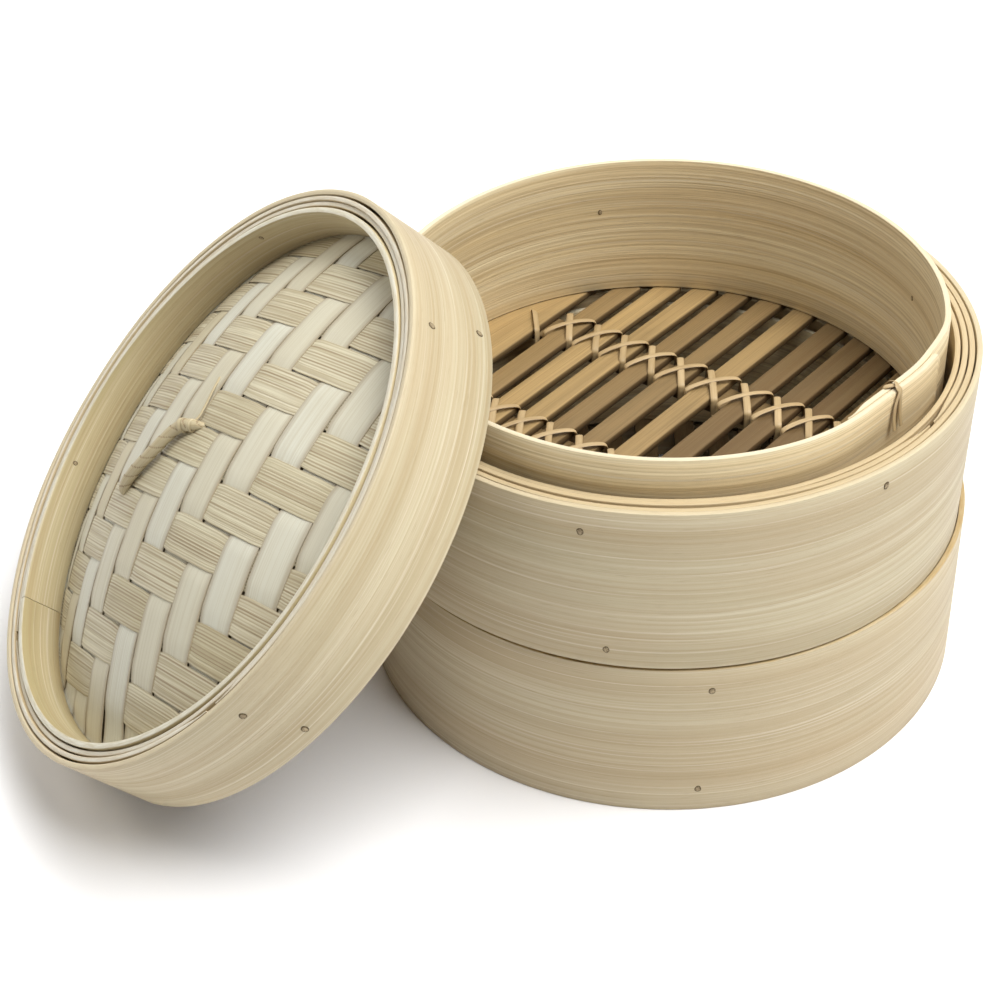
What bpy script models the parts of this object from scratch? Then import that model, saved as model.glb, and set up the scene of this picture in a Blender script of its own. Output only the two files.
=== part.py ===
"""Two-tier bamboo steamer, 8 inch, with its lid leaning against the stack.

Each tier is a drum of bent bamboo strips: an outer hoop backed by wound layers, a taller inner
ring that stands proud so that the next tier or the lid seats over it, and a slatted floor that
is laced with cane to two battens. The lid is a shallow drum that clamps a domed woven cover and
carries a wrapped cane handle. Metres, +Z up; the origin is on the floor under the middle of the
whole arrangement.
"""

import math

import bmesh
import bpy
from mathutils import Matrix, Vector

# Clearances
GAP = 0.0003              # between pieces that touch
LEAN_GAP = 0.0005         # between the leaning lid and the ring it rests on

# Tier drum
HOOP_RADIUS = 0.1016      # outside of the outer hoop: an 8 inch steamer
HOOP_HEIGHT = 0.0594
STRIP = 0.0020            # thickness of every bent strip
LAYER_COUNT = 4           # outer hoop and the layers wound inside it
LAYER_STEP = STRIP + GAP
LAYER_DROP = 0.0003       # the inner layers end just below the outer hoop
RING_RADIUS = 0.0904      # outside of the tall inner ring
RING_STAND = 0.0118       # how far the ring stands above the hoops
TIER_STEP = HOOP_HEIGHT + GAP
LOWER_SHIFT = 0.0010      # the lower tier's offset under the upper one, within the play of its ring

# Slatted floor
SLAT_TOP = 0.0188
SLAT_THICK = 0.0030
SLAT_WIDTH = 0.0081
SLAT_SPACING = 0.0125
SLAT_SHIFTS = (0.0, 0.5, 0.0, -0.9, -1.6, -1.5, 0.4, 1.0, 1.2, 0.3, -0.3, -1.4, 0.0)  # mm, tied by eye
SLAT_END_RADIUS = 0.0943  # slat ends lie on the floor ring, under the innermost layer
SLAT_TURN = math.radians(35.4)
LOWER_FLOOR_TURN = math.radians(74.0)
FLOOR_RING_INNER = 0.0920
BATTEN_WIDTH = 0.0130
BATTEN_THICK = 0.0030
BATTEN_LENGTH = 0.1600
BATTEN_PLACES = (0.0310, -0.0275)
EDGE_ROUND = 0.0004

# Cane
CANE_RADIUS = 0.0006
LACE_REACH = 0.0077       # from the batten's middle to where the cane passes between slats
LASH_WIDTH = 0.0040
LASH_THICK = 0.0005
LASH_DROP = 0.0100
LASH_TURN = math.radians(-56.0)

# Lid
LID_RADIUS = 0.1010
LID_HEIGHT = 0.0328
LID_STEP = 0.0023
LID_RING_INNER = 0.0921
LID_LIP_RADIUS = LID_RADIUS - 2 * LID_STEP - STRIP   # inside of the innermost layer
LID_RECESS = 0.0018       # the lower inner ring starts this far inside the mouth
LID_SEAT = 0.0154         # and ends here, where the woven cover lies on it
COVER_THICK = 0.0012
COVER_EDGE_RADIUS = 0.0937
COVER_SPRING_RADIUS = 0.0915
COVER_RISE = 0.0225
COVER_STEPS = 7
LID_LEAN = math.radians(43.8)   # elevation of the lid's axis

# Handle: a low arch of cane wrapped round a core
HANDLE_RADIUS = 0.0019
HANDLE_RISE = 0.0022
HANDLE_FOOT_LOW = Vector((-0.0262, 0.0168, 0.0))
HANDLE_FOOT_HIGH = Vector((0.0125, 0.0024, 0.0))
HANDLE_STEPS = 12

# Pegs: name, direction round the drum, height
PEG_RADIUS = 0.00095
PEG_PROUD = 0.0003
UPPER_PEGS = (("upper_peg_left", -122.9, 0.0505), ("upper_peg_right", -68.8, 0.0533))
LOWER_PEGS = (("lower_peg_front", -100.4, 0.0505),)
LID_PEGS = (("lid_peg_right", -21.9, 0.0252), ("lid_peg_front", -98.7, 0.0244))

ROUND_STEPS = 48
EDGE_SLAT_STEPS = 14
PEG_SIDES = 10

# Where the drum and the leaning lid stand
LID_FOOT_HEIGHT = LID_RADIUS * math.cos(LID_LEAN)
RING_TOP = TIER_STEP + HOOP_HEIGHT + RING_STAND


def lid_reach():
    """Distance of the lid mouth's centre from the stack axis when its lip rests on the ring."""
    rise = (RING_TOP - LID_FOOT_HEIGHT) / math.cos(LID_LEAN)
    half_width = math.sqrt(LID_LIP_RADIUS ** 2 - rise ** 2)
    touch = math.sqrt((RING_RADIUS + LEAN_GAP) ** 2 - half_width ** 2)
    return touch + rise * math.sin(LID_LEAN)


LID_REACH = lid_reach()
LID_OVERHANG = LID_HEIGHT * math.cos(LID_LEAN) + LID_RADIUS * math.sin(LID_LEAN)
STACK_X = (LID_REACH + LID_OVERHANG - HOOP_RADIUS - LOWER_SHIFT) / 2

# Colours
PALE_BAMBOO = (0.74, 0.65, 0.47)
RING_BAMBOO = (0.68, 0.55, 0.35)
SLAT_BAMBOO = (0.48, 0.35, 0.20)
CANE_TAN = (0.66, 0.50, 0.29)
WOVEN_CREAM = (0.70, 0.64, 0.50)
PEG_BROWN = (0.50, 0.38, 0.22)


def clear_scene():
    for old in list(bpy.data.objects):
        bpy.data.objects.remove(old, do_unlink=True)


def material(name, colour, roughness):
    made = bpy.data.materials.new(name)
    made.use_nodes = True
    shader = made.node_tree.nodes["Principled BSDF"]
    shader.inputs["Base Color"].default_value = (*colour, 1.0)
    shader.inputs["Roughness"].default_value = roughness
    shader.inputs["Metallic"].default_value = 0.0
    return made


def empty(name, location, rotation=(0.0, 0.0, 0.0), parent=None):
    made = bpy.data.objects.new(name, None)
    made.location = location
    made.rotation_euler = rotation
    made.parent = parent
    bpy.context.scene.collection.objects.link(made)
    return made


def add_object(name, data, finish, parent):
    made = bpy.data.objects.new(name, data)
    data.materials.append(finish)
    made.parent = parent
    bpy.context.scene.collection.objects.link(made)
    return made


def turned_mesh(name, profile):
    """Turn a closed (radius, height) outline round Z; points on the axis close the middle."""
    bm = bmesh.new()
    points = [bm.verts.new((radius, 0.0, height)) for radius, height in profile]
    edges = [bm.edges.new((points[i - 1], points[i])) for i in range(1, len(points))]
    if profile[0][0] > 0.0:
        edges.append(bm.edges.new((points[-1], points[0])))
    bmesh.ops.spin(bm, geom=points + edges, cent=(0, 0, 0), axis=(0, 0, 1),
                   angle=math.tau, steps=ROUND_STEPS, use_duplicate=False)
    bmesh.ops.remove_doubles(bm, verts=bm.verts, dist=1e-6)
    bmesh.ops.recalc_face_normals(bm, faces=bm.faces)
    mesh = bpy.data.meshes.new(name)
    bm.to_mesh(mesh)
    bm.free()
    mesh.shade_smooth()
    mesh.set_sharp_from_angle(angle=math.radians(30))
    return mesh


def hoop(name, outer, inner, bottom, top, finish, parent):
    profile = ((outer, top), (outer, bottom), (inner, bottom), (inner, top))
    return add_object(name, turned_mesh(name, profile), finish, parent)


def bar(name, size, place, turn, finish, parent):
    """A straight bamboo bar with eased edges, long side along its own X."""
    bm = bmesh.new()
    bmesh.ops.create_cube(bm, size=1.0, matrix=Matrix.Diagonal((*size, 1.0)))
    mesh = bpy.data.meshes.new(name)
    bm.to_mesh(mesh)
    bm.free()
    made = add_object(name, mesh, finish, parent)
    made.location = place
    made.rotation_euler = (0.0, 0.0, turn)
    eased = made.modifiers.new("eased edges", "BEVEL")
    eased.width = EDGE_ROUND
    eased.segments = 1
    eased.limit_method = "ANGLE"
    return made


def strand(name, points, radius, resolution, finish, parent):
    """A cane strand: a round section swept along a polyline, with closed ends."""
    curve = bpy.data.curves.new(name, "CURVE")
    curve.dimensions = "3D"
    curve.bevel_depth = radius
    curve.bevel_resolution = resolution
    curve.use_fill_caps = True
    spline = curve.splines.new("POLY")
    spline.points.add(len(points) - 1)
    for knot, point in zip(spline.points, points):
        knot.co = (*point, 1.0)
    return add_object(name, curve, finish, parent)


def slat_offsets():
    middle = (len(SLAT_SHIFTS) - 1) / 2
    return [(i - middle) * SLAT_SPACING + shift / 1000 for i, shift in enumerate(SLAT_SHIFTS)]


def edge_slat(name, offset, finish, floor):
    """The slat at either side is a wide one, cut round on the outside to reach the drum."""
    side = math.copysign(1.0, offset)
    inner = abs(offset) - SLAT_WIDTH / 2
    half_angle = math.acos(inner / SLAT_END_RADIUS)
    bm = bmesh.new()
    corners = []
    for step in range(EDGE_SLAT_STEPS + 1):
        angle = half_angle * (2 * step / EDGE_SLAT_STEPS - 1)
        across = SLAT_END_RADIUS * math.cos(angle)
        along = SLAT_END_RADIUS * math.sin(angle)
        corners.append(bm.verts.new((along, side * across, SLAT_TOP - SLAT_THICK)))
    face = bm.faces.new(corners)
    swept = bmesh.ops.extrude_face_region(bm, geom=[face])
    moved = [item for item in swept["geom"] if isinstance(item, bmesh.types.BMVert)]
    bmesh.ops.translate(bm, verts=moved, vec=(0.0, 0.0, SLAT_THICK))
    bmesh.ops.recalc_face_normals(bm, faces=bm.faces)
    mesh = bpy.data.meshes.new(name)
    bm.to_mesh(mesh)
    bm.free()
    add_object(name, mesh, finish, floor)


def add_slats(prefix, floor, finish):
    offsets = slat_offsets()
    edge_slat(f"{prefix}_slat_01", offsets[0], finish, floor)
    edge_slat(f"{prefix}_slat_{len(offsets):02d}", offsets[-1], finish, floor)
    for number, offset in enumerate(offsets[1:-1], start=2):
        edge = abs(offset) + SLAT_WIDTH / 2
        length = 2 * math.sqrt(SLAT_END_RADIUS ** 2 - edge ** 2)
        size = (length, SLAT_WIDTH, SLAT_THICK)
        place = (0.0, offset, SLAT_TOP - SLAT_THICK / 2)
        bar(f"{prefix}_slat_{number:02d}", size, place, 0.0, finish, floor)


def add_battens(prefix, floor, finish):
    height = SLAT_TOP - SLAT_THICK - GAP - BATTEN_THICK / 2
    for label, along in zip("ab", BATTEN_PLACES):
        size = (BATTEN_LENGTH, BATTEN_WIDTH, BATTEN_THICK)
        bar(f"{prefix}_batten_{label}", size, (along, 0.0, height), math.pi / 2, finish, floor)


def add_lacing(prefix, floor, finish):
    """Over each slat on the slant, down between two slats and back under the batten."""
    above = SLAT_TOP + GAP + CANE_RADIUS
    below = SLAT_TOP - SLAT_THICK - GAP - BATTEN_THICK - GAP - CANE_RADIUS
    offsets = slat_offsets()
    between = [(a + b) / 2 for a, b in zip(offsets, offsets[1:])]
    for label, along in zip("ab", BATTEN_PLACES):
        near = along - LACE_REACH
        far = along + LACE_REACH
        points = [(near, between[0], below), (near, between[0], above)]
        for gap in between[1:-1]:
            points += [(far, gap, above), (far, gap, below), (near, gap, below), (near, gap, above)]
        points += [(far, between[-1], above), (far, between[-1], below)]
        strand(f"{prefix}_lacing_{label}", points, CANE_RADIUS, 0, finish, floor)


def add_lashing(prefix, tier, finish):
    """A cane tie bent over the top edge of the ring, where the strip's ends lap."""
    reach = GAP + LASH_THICK
    inner = RING_RADIUS - STRIP
    top = HOOP_HEIGHT + RING_STAND
    outline = ((RING_RADIUS + reach, top - LASH_DROP), (RING_RADIUS + reach, top + reach),
               (inner - reach, top + reach), (inner - reach, top - LASH_DROP),
               (inner - GAP, top - LASH_DROP), (inner - GAP, top + GAP),
               (RING_RADIUS + GAP, top + GAP), (RING_RADIUS + GAP, top - LASH_DROP))
    bm = bmesh.new()
    corners = [bm.verts.new((radius, -LASH_WIDTH / 2, height)) for radius, height in outline]
    face = bm.faces.new(corners)
    swept = bmesh.ops.extrude_face_region(bm, geom=[face])
    moved = [item for item in swept["geom"] if isinstance(item, bmesh.types.BMVert)]
    bmesh.ops.translate(bm, verts=moved, vec=(0.0, LASH_WIDTH, 0.0))
    bmesh.ops.recalc_face_normals(bm, faces=bm.faces)
    mesh = bpy.data.meshes.new(f"{prefix}_ring_lashing")
    bm.to_mesh(mesh)
    bm.free()
    made = add_object(f"{prefix}_ring_lashing", mesh, finish, tier)
    made.rotation_euler = (0.0, 0.0, LASH_TURN)


def add_floor(prefix, tier, turn, finishes):
    floor = empty(f"{prefix}_floor_frame", (0.0, 0.0, 0.0), (0.0, 0.0, turn), tier)
    add_slats(prefix, floor, finishes["slat"])
    add_battens(prefix, floor, finishes["slat"])
    add_lacing(prefix, floor, finishes["cane"])


def peg_mesh(name, radius, inner, outer):
    """A round peg along +X from one radius of the drum to another."""
    bm = bmesh.new()
    place = Matrix.Translation(((inner + outer) / 2, 0, 0)) @ Matrix.Rotation(math.pi / 2, 4, "Y")
    bmesh.ops.create_cone(bm, cap_ends=True, segments=PEG_SIDES, radius1=radius, radius2=radius,
                          depth=outer - inner, matrix=place)
    mesh = bpy.data.meshes.new(name)
    bm.to_mesh(mesh)
    bm.free()
    return mesh


def peg_through(name, degrees, height, pieces, inner, outer, finish, parent):
    """Drive a peg in from the outside, and drill each piece that it goes through."""
    turn = (0.0, 0.0, math.radians(degrees))
    peg = add_object(name, peg_mesh(name, PEG_RADIUS, inner - PEG_PROUD, outer + PEG_PROUD), finish, parent)
    drill_mesh = peg_mesh(f"{name}_drill", PEG_RADIUS + GAP, inner - STRIP, outer + STRIP)
    drill = add_object(f"{name}_drill", drill_mesh, finish, parent)
    for item in (peg, drill):
        item.location = (0.0, 0.0, height)
        item.rotation_euler = turn
    drill.hide_render = True
    drill.display_type = "WIRE"
    for piece in pieces:
        hole = piece.modifiers.new(name, "BOOLEAN")
        hole.operation = "DIFFERENCE"
        hole.solver = "EXACT"
        hole.object = drill


def add_tier(prefix, place, floor_turn, pegs, finishes):
    tier = empty(f"{prefix}_frame", place)
    outer = HOOP_RADIUS
    layer_top = HOOP_HEIGHT - LAYER_DROP
    clamp = SLAT_TOP + GAP
    drum = [hoop(f"{prefix}_outer_hoop", outer, outer - STRIP, 0.0, HOOP_HEIGHT, finishes["hoop"], tier)]
    for layer in range(1, LAYER_COUNT):
        outer -= LAYER_STEP
        innermost = layer == LAYER_COUNT - 1
        bottom = clamp if innermost else 0.0
        name = f"{prefix}_hoop_layer_{layer + 1}"
        drum.append(hoop(name, outer, outer - STRIP, bottom, layer_top, finishes["hoop"], tier))
    hoop(f"{prefix}_floor_ring", outer, FLOOR_RING_INNER, 0.0, SLAT_TOP - SLAT_THICK - GAP,
         finishes["hoop"], tier)
    inner = RING_RADIUS - STRIP
    ring_top = HOOP_HEIGHT + RING_STAND
    drum.append(hoop(f"{prefix}_inner_ring", RING_RADIUS, inner, clamp, ring_top, finishes["ring"], tier))
    add_floor(prefix, tier, floor_turn, finishes)
    add_lashing(prefix, tier, finishes["cane"])
    for name, degrees, height in pegs:
        peg_through(name, degrees, height, drum, inner, HOOP_RADIUS, finishes["peg"], tier)


def dome_height(radius):
    """Top of the woven cover above the lid's mouth at a distance from its axis."""
    edge = LID_SEAT + GAP + COVER_THICK
    return edge + COVER_RISE * (1 - min(radius / COVER_SPRING_RADIUS, 1.0) ** 2)


def add_cover(lid, finish):
    """The woven sheet as one domed solid, with a flat edge held between the two inner rings."""
    radii = [COVER_SPRING_RADIUS * step / COVER_STEPS for step in range(COVER_STEPS + 1)]
    radii.append(COVER_EDGE_RADIUS)
    top = [(radius, dome_height(radius)) for radius in radii]
    underside = [(radius, height - COVER_THICK) for radius, height in reversed(top)]
    return add_object("lid_woven_cover", turned_mesh("lid_woven_cover", top + underside), finish, lid)


def add_handle(lid, finish):
    points = []
    for step in range(HANDLE_STEPS + 1):
        part = step / HANDLE_STEPS
        spot = HANDLE_FOOT_LOW.lerp(HANDLE_FOOT_HIGH, (1 - math.cos(math.pi * part)) / 2)
        lift = GAP + HANDLE_RADIUS + HANDLE_RISE * math.sin(math.pi * part) ** 0.7
        points.append((spot.x, spot.y, dome_height(spot.xy.length) + lift))
    return strand("lid_handle", points, HANDLE_RADIUS, 2, finish, lid)


def add_lid(finishes):
    lid = empty("lid_frame", (STACK_X - LID_REACH, 0.0, LID_FOOT_HEIGHT), (0.0, LID_LEAN - math.pi / 2, 0.0))
    edge = LID_SEAT + GAP + COVER_THICK + GAP
    outer = LID_RADIUS
    drum = [hoop("lid_band", outer, outer - STRIP, 0.0, LID_HEIGHT, finishes["hoop"], lid)]
    for layer in (2, 3):
        outer -= LID_STEP
        drum.append(hoop(f"lid_layer_{layer}", outer, outer - STRIP, LAYER_DROP, LID_HEIGHT - LAYER_DROP,
                         finishes["hoop"], lid))
    outer -= LID_STEP
    drum.append(hoop("lid_upper_inner_ring", outer, LID_RING_INNER, edge, LID_HEIGHT, finishes["hoop"], lid))
    hoop("lid_lower_inner_ring", outer, LID_RING_INNER, LID_RECESS, LID_SEAT, finishes["hoop"], lid)
    add_cover(lid, finishes["woven"])
    add_handle(lid, finishes["cane"])
    for name, degrees, height in LID_PEGS:
        peg_through(name, degrees, height, drum, LID_RING_INNER, LID_RADIUS, finishes["peg"], lid)


def build():
    clear_scene()
    finishes = {
        "hoop": material("hoop_bamboo", PALE_BAMBOO, 0.55),
        "ring": material("ring_bamboo", RING_BAMBOO, 0.55),
        "slat": material("slat_bamboo", SLAT_BAMBOO, 0.65),
        "cane": material("cane", CANE_TAN, 0.50),
        "woven": material("woven_bamboo", WOVEN_CREAM, 0.50),
        "peg": material("peg_bamboo", PEG_BROWN, 0.70),
    }
    add_tier("lower", (STACK_X + LOWER_SHIFT, 0.0, 0.0), LOWER_FLOOR_TURN, LOWER_PEGS, finishes)
    add_tier("upper", (STACK_X, 0.0, TIER_STEP), SLAT_TURN, UPPER_PEGS, finishes)
    add_lid(finishes)
    bpy.context.view_layer.update()


build()
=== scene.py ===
"""Looks of a two-tier bamboo steamer with its woven lid leaning on the stack.

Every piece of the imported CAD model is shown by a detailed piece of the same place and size: bent
strips with cut edges, floor slats, cane lacing, woven lid strips, the wrapped handle and the pegs.
Metres, +Z up, in the row frame.
"""

import math

import bmesh
import bpy
import numpy as np
from mathutils import Matrix, Vector, noise

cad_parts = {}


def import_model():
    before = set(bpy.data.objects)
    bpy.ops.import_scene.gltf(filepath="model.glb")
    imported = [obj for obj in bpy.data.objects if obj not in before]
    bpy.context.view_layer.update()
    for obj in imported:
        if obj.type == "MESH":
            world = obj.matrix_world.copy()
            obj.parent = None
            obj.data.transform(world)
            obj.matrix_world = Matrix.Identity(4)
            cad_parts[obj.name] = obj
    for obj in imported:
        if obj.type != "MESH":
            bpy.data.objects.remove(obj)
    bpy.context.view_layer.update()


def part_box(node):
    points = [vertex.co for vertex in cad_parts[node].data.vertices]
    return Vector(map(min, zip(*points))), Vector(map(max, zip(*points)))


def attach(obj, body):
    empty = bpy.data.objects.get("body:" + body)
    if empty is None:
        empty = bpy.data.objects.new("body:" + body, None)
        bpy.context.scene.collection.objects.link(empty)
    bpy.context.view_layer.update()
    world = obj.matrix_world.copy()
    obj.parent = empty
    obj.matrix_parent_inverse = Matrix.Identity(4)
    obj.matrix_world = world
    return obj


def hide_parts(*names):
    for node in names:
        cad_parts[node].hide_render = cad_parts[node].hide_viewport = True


MM = 0.001

# Bent strips
STRIP = 0.0019
LAYER_STEP = 0.0023
RIM_ROUND = 0.00035
RING_STAND = 0.0118
RING_RADIUS = 0.0904
CLAMP_HEIGHT = 0.0191
FLOOR_RING_TOP = 0.0155
FLOOR_RING_THICK = 0.0026
RING_BEGIN = -71.0
RING_END = 320.5
HOOP_SEAM = 80.0
LASH_TURN = -56.5
ROUND_STEPS = 224

# Slatted floor, in the floor's own frame: slats run along X and lie side by side along Y
SLAT_TOP = 0.0188
SLAT_THICK = 0.0030
SLAT_WIDTH = 0.0081
SLAT_SPACING = 0.0125
SLAT_SHIFTS = (0.0, 0.5, 0.0, -0.9, -1.6, -1.5, 0.4, 1.0, 1.2, 0.3, -0.3, -1.4, 0.0)
# Each slat's tone, partly its own and partly painted shade: slats 4 to 6 are painted darker where the
# drum's right wall shades them.
SLAT_TONES_AND_SHADE = (0.30, 0.34, 0.36, 0.10, 0.12, 0.16, 0.66, 0.40, 0.36, 0.78, 0.86, 0.50, 0.84)
SLAT_END_RADIUS = 0.0943
UPPER_FLOOR_TURN = math.radians(35.4)
LOWER_FLOOR_TURN = math.radians(74.0)
# Painted shade: the lower floor's slats and battens are darkened to this share of their tone.
LOWER_FLOOR_SHADE = 0.2
BATTEN_WIDTH = 0.0130
BATTEN_THICK = 0.0030
BATTEN_LENGTH = 0.1600
BATTEN_PLACES = (0.0310, -0.0275)

# Lid
LID_LEAN = math.radians(43.8)
LID_RADIUS = 0.1010
LID_HEIGHT = 0.0328
LID_RECESS = 0.0018
LID_SEAT = 0.0154
LID_RING_INNER = 0.0921
COVER_EDGE = 0.0168
COVER_RISE = 0.0226
COVER_SPRING_RADIUS = 0.0915
COVER_CLAMPED_RADIUS = 0.0934

# Weave: 2/2 twill; directions and pitches of the two sets of strips across the lid
RIBBED_TURN = math.radians(26.7)
SMOOTH_TURN = math.radians(-62.1)
RIBBED_PITCH = 0.01337
SMOOTH_PITCH = 0.01387
SMOOTH_START = 0.00088
RIBBED_START = 0.00066
WEAVE_LIFT = 0.00042
WEAVE_THICK = 0.0004
RIB_HEIGHT = 0.00010
# A ply under the weave, painted dark as shade behind the weave's slits.
SHADE_SHEET_STRIPS = 8
SHADE_SHEET_DROP = 0.00095

# Cane and pegs
CANE_THICK = 0.0005
PEG_SIZE = 0.0012
MARK_SIZE = 0.0009
UPPER_MARK_HEIGHT = 0.0516
LID_MARK_HEIGHT = 0.0283

# Stage: the floor's rings as radius and glow; the camera's place is given from the stack's axis
FLOOR_RINGS = ((0.9, 0.0), (1.2, 0.2), (1.7, 0.7), (2.6, 0.95), (30.0, 1.0))
WORLD_LIGHT = 0.06
LIGHT_TARGET = (0.0, 0.0, 0.05)
CAMERA_PLACE = (-0.2054, -0.5597, 0.4986)
CAMERA_FORWARD = (0.2011, 0.7705, -0.6048)
CAMERA_RIGHT = (0.9626, -0.2697, -0.0234)
CAMERA_LENS = 78.1
CAMERA_SHIFT = (0.0095, 0.0040)


# ---------------------------------------------------------------- materials

class Shader:
    """A Principled material with short calls for the nodes that feed it."""

    def __init__(self, name, roughness, specular=0.35):
        self.material = bpy.data.materials.new(name)
        self.material.use_nodes = True
        self.tree = self.material.node_tree
        self.bsdf = self.tree.nodes["Principled BSDF"]
        self.bsdf.inputs["Roughness"].default_value = roughness
        self.bsdf.inputs["Specular IOR Level"].default_value = specular
        self.uv = self.node("TexCoord").outputs["UV"]

    def node(self, kind):
        return self.tree.nodes.new("ShaderNode" + kind)

    def attribute(self, name):
        node = self.node("Attribute")
        node.attribute_name = name
        return node.outputs["Fac"]

    def stretched_noise(self, along, across, detail=3.0, rough=0.55, shift=0.0):
        """Noise in [0, 1] with features 1/along metres long and 1/across metres wide."""
        mapping = self.node("Mapping")
        mapping.inputs["Scale"].default_value = (along, across, 1.0)
        mapping.inputs["Location"].default_value = (shift, shift * 1.7, shift * 0.3)
        self.tree.links.new(self.uv, mapping.inputs["Vector"])
        texture = self.node("TexNoise")
        texture.inputs["Scale"].default_value = 1.0
        texture.inputs["Detail"].default_value = detail
        texture.inputs["Roughness"].default_value = rough
        self.tree.links.new(mapping.outputs["Vector"], texture.inputs["Vector"])
        return texture.outputs["Fac"]

    def ramp(self, value, low, high, to_low=0.0, to_high=1.0):
        node = self.node("MapRange")
        node.clamp = True
        self.tree.links.new(value, node.inputs["Value"])
        node.inputs["From Min"].default_value = low
        node.inputs["From Max"].default_value = high
        node.inputs["To Min"].default_value = to_low
        node.inputs["To Max"].default_value = to_high
        return node.outputs["Result"]

    def maths(self, operation, first, second):
        node = self.node("Math")
        node.operation = operation
        self._feed(first, node.inputs[0])
        self._feed(second, node.inputs[1])
        return node.outputs["Value"]

    def mix(self, factor, first, second):
        node = self.node("Mix")
        node.data_type = "RGBA"
        self._feed(factor, node.inputs[0])
        self._feed(first, node.inputs[6])
        self._feed(second, node.inputs[7])
        return node.outputs[2]

    def veil(self, base, value, low, high, share, colour):
        """The colour laid over the base where the value is high, at most by share."""
        return self.mix(self.ramp(value, low, high, 0.0, share), base, colour)

    def _feed(self, value, socket):
        if isinstance(value, tuple):
            socket.default_value = (*value, 1.0)
        elif isinstance(value, (int, float)):
            socket.default_value = value
        else:
            self.tree.links.new(value, socket)

    def finish(self, colour, height, depth, roughness=None):
        self.tree.links.new(colour, self.bsdf.inputs["Base Color"])
        if roughness is not None:
            self.tree.links.new(roughness, self.bsdf.inputs["Roughness"])
        bump = self.node("Bump")
        bump.inputs["Strength"].default_value = 1.0
        bump.inputs["Distance"].default_value = depth
        self.tree.links.new(height, bump.inputs["Height"])
        self.tree.links.new(bump.outputs["Normal"], self.bsdf.inputs["Normal"])
        return self.material


def strip_bamboo(name, pale, deep, blush, rim, streaks, fibre_depth):
    """Bent bamboo strip: long crisp fibres, soft bands of tone, and cut edges of the rim colour."""
    shader = Shader(name, 0.5)
    fibres = shader.stretched_noise(7.0, 1500.0, detail=5.0, rough=0.62)
    lines = shader.stretched_noise(5.0, 640.0, detail=4.0, rough=0.66, shift=3.1)
    bands = shader.stretched_noise(3.0, 150.0, detail=3.0, rough=0.5, shift=5.9)
    broad = shader.stretched_noise(9.0, 34.0, detail=3.0, shift=7.7)
    pale_lines = shader.stretched_noise(6.0, 1100.0, detail=3.0, rough=0.5, shift=12.3)
    flecks = shader.stretched_noise(120.0, 1300.0, detail=2.0, rough=0.5, shift=17.1)
    base = shader.mix(shader.ramp(bands, 0.38, 0.64), pale, deep)
    base = shader.veil(base, broad, 0.40, 0.70, 0.60, blush)
    base = shader.veil(base, lines, 0.46, 0.64, streaks, (0.40, 0.28, 0.14))
    base = shader.veil(base, fibres, 0.44, 0.66, streaks, (0.44, 0.33, 0.18))
    base = shader.veil(base, pale_lines, 0.56, 0.70, 0.38, (0.84, 0.78, 0.62))
    base = shader.veil(base, flecks, 0.62, 0.76, 0.30, (0.33, 0.24, 0.13))
    grain = shader.stretched_noise(160.0, 1500.0, detail=3.0, shift=5.0)
    edge_fleck = shader.ramp(grain, 0.35, 0.7, 0.45, 1.0)
    edge = shader.maths("MULTIPLY", shader.attribute("rim"), edge_fleck)
    colour = shader.mix(edge, base, rim)
    height = shader.maths("ADD", fibres, lines)
    rough = shader.ramp(fibres, 0.3, 0.7, 0.40, 0.60)
    return shader.finish(colour, height, fibre_depth, rough)


def slat_bamboo():
    """Split slats: a tone for each slat, partly painted shade, streaked along its length."""
    shader = Shader("slat_bamboo", 0.6, specular=0.3)
    fibres = shader.stretched_noise(14.0, 2100.0, detail=4.0, rough=0.6)
    bands = shader.stretched_noise(7.0, 420.0, detail=4.0, rough=0.6, shift=2.3)
    patches = shader.stretched_noise(26.0, 90.0, detail=3.0, shift=8.4)
    tone = shader.attribute("tone")
    # The tone attribute carries each slat's own tone and painted shade.
    base = shader.mix(tone, (0.080, 0.043, 0.015), (0.50, 0.34, 0.145))
    base = shader.veil(base, bands, 0.40, 0.68, 0.38, (0.22, 0.15, 0.065))
    base = shader.veil(base, patches, 0.52, 0.78, 0.45, (0.13, 0.09, 0.042))
    base = shader.veil(base, fibres, 0.45, 0.75, 0.5, (0.13, 0.08, 0.035))
    # Painted shade: the rim attribute darkens the sides and undersides of slats and battens.
    edge = shader.maths("MULTIPLY", shader.attribute("rim"), 0.85)
    base = shader.mix(edge, base, (0.085, 0.050, 0.022))
    height = shader.maths("ADD", fibres, bands)
    return shader.finish(base, height, 0.00022, shader.ramp(fibres, 0.3, 0.7, 0.5, 0.72))


def cane():
    """Split cane: pale, satin, with fine lines along it."""
    shader = Shader("cane", 0.42, specular=0.4)
    fibres = shader.stretched_noise(40.0, 2600.0, detail=3.0)
    patches = shader.stretched_noise(70.0, 150.0, detail=3.0, shift=4.2)
    base = shader.mix(shader.ramp(patches, 0.35, 0.7), (0.50, 0.37, 0.20), (0.40, 0.285, 0.14))
    base = shader.veil(base, fibres, 0.5, 0.75, 0.45, (0.30, 0.19, 0.08))
    # Painted shade: the rim attribute darkens the cane's edges and underside.
    base = shader.mix(shader.attribute("rim"), base, (0.16, 0.09, 0.035))
    return shader.finish(base, fibres, 0.00012, shader.ramp(fibres, 0.3, 0.7, 0.36, 0.55))


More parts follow.
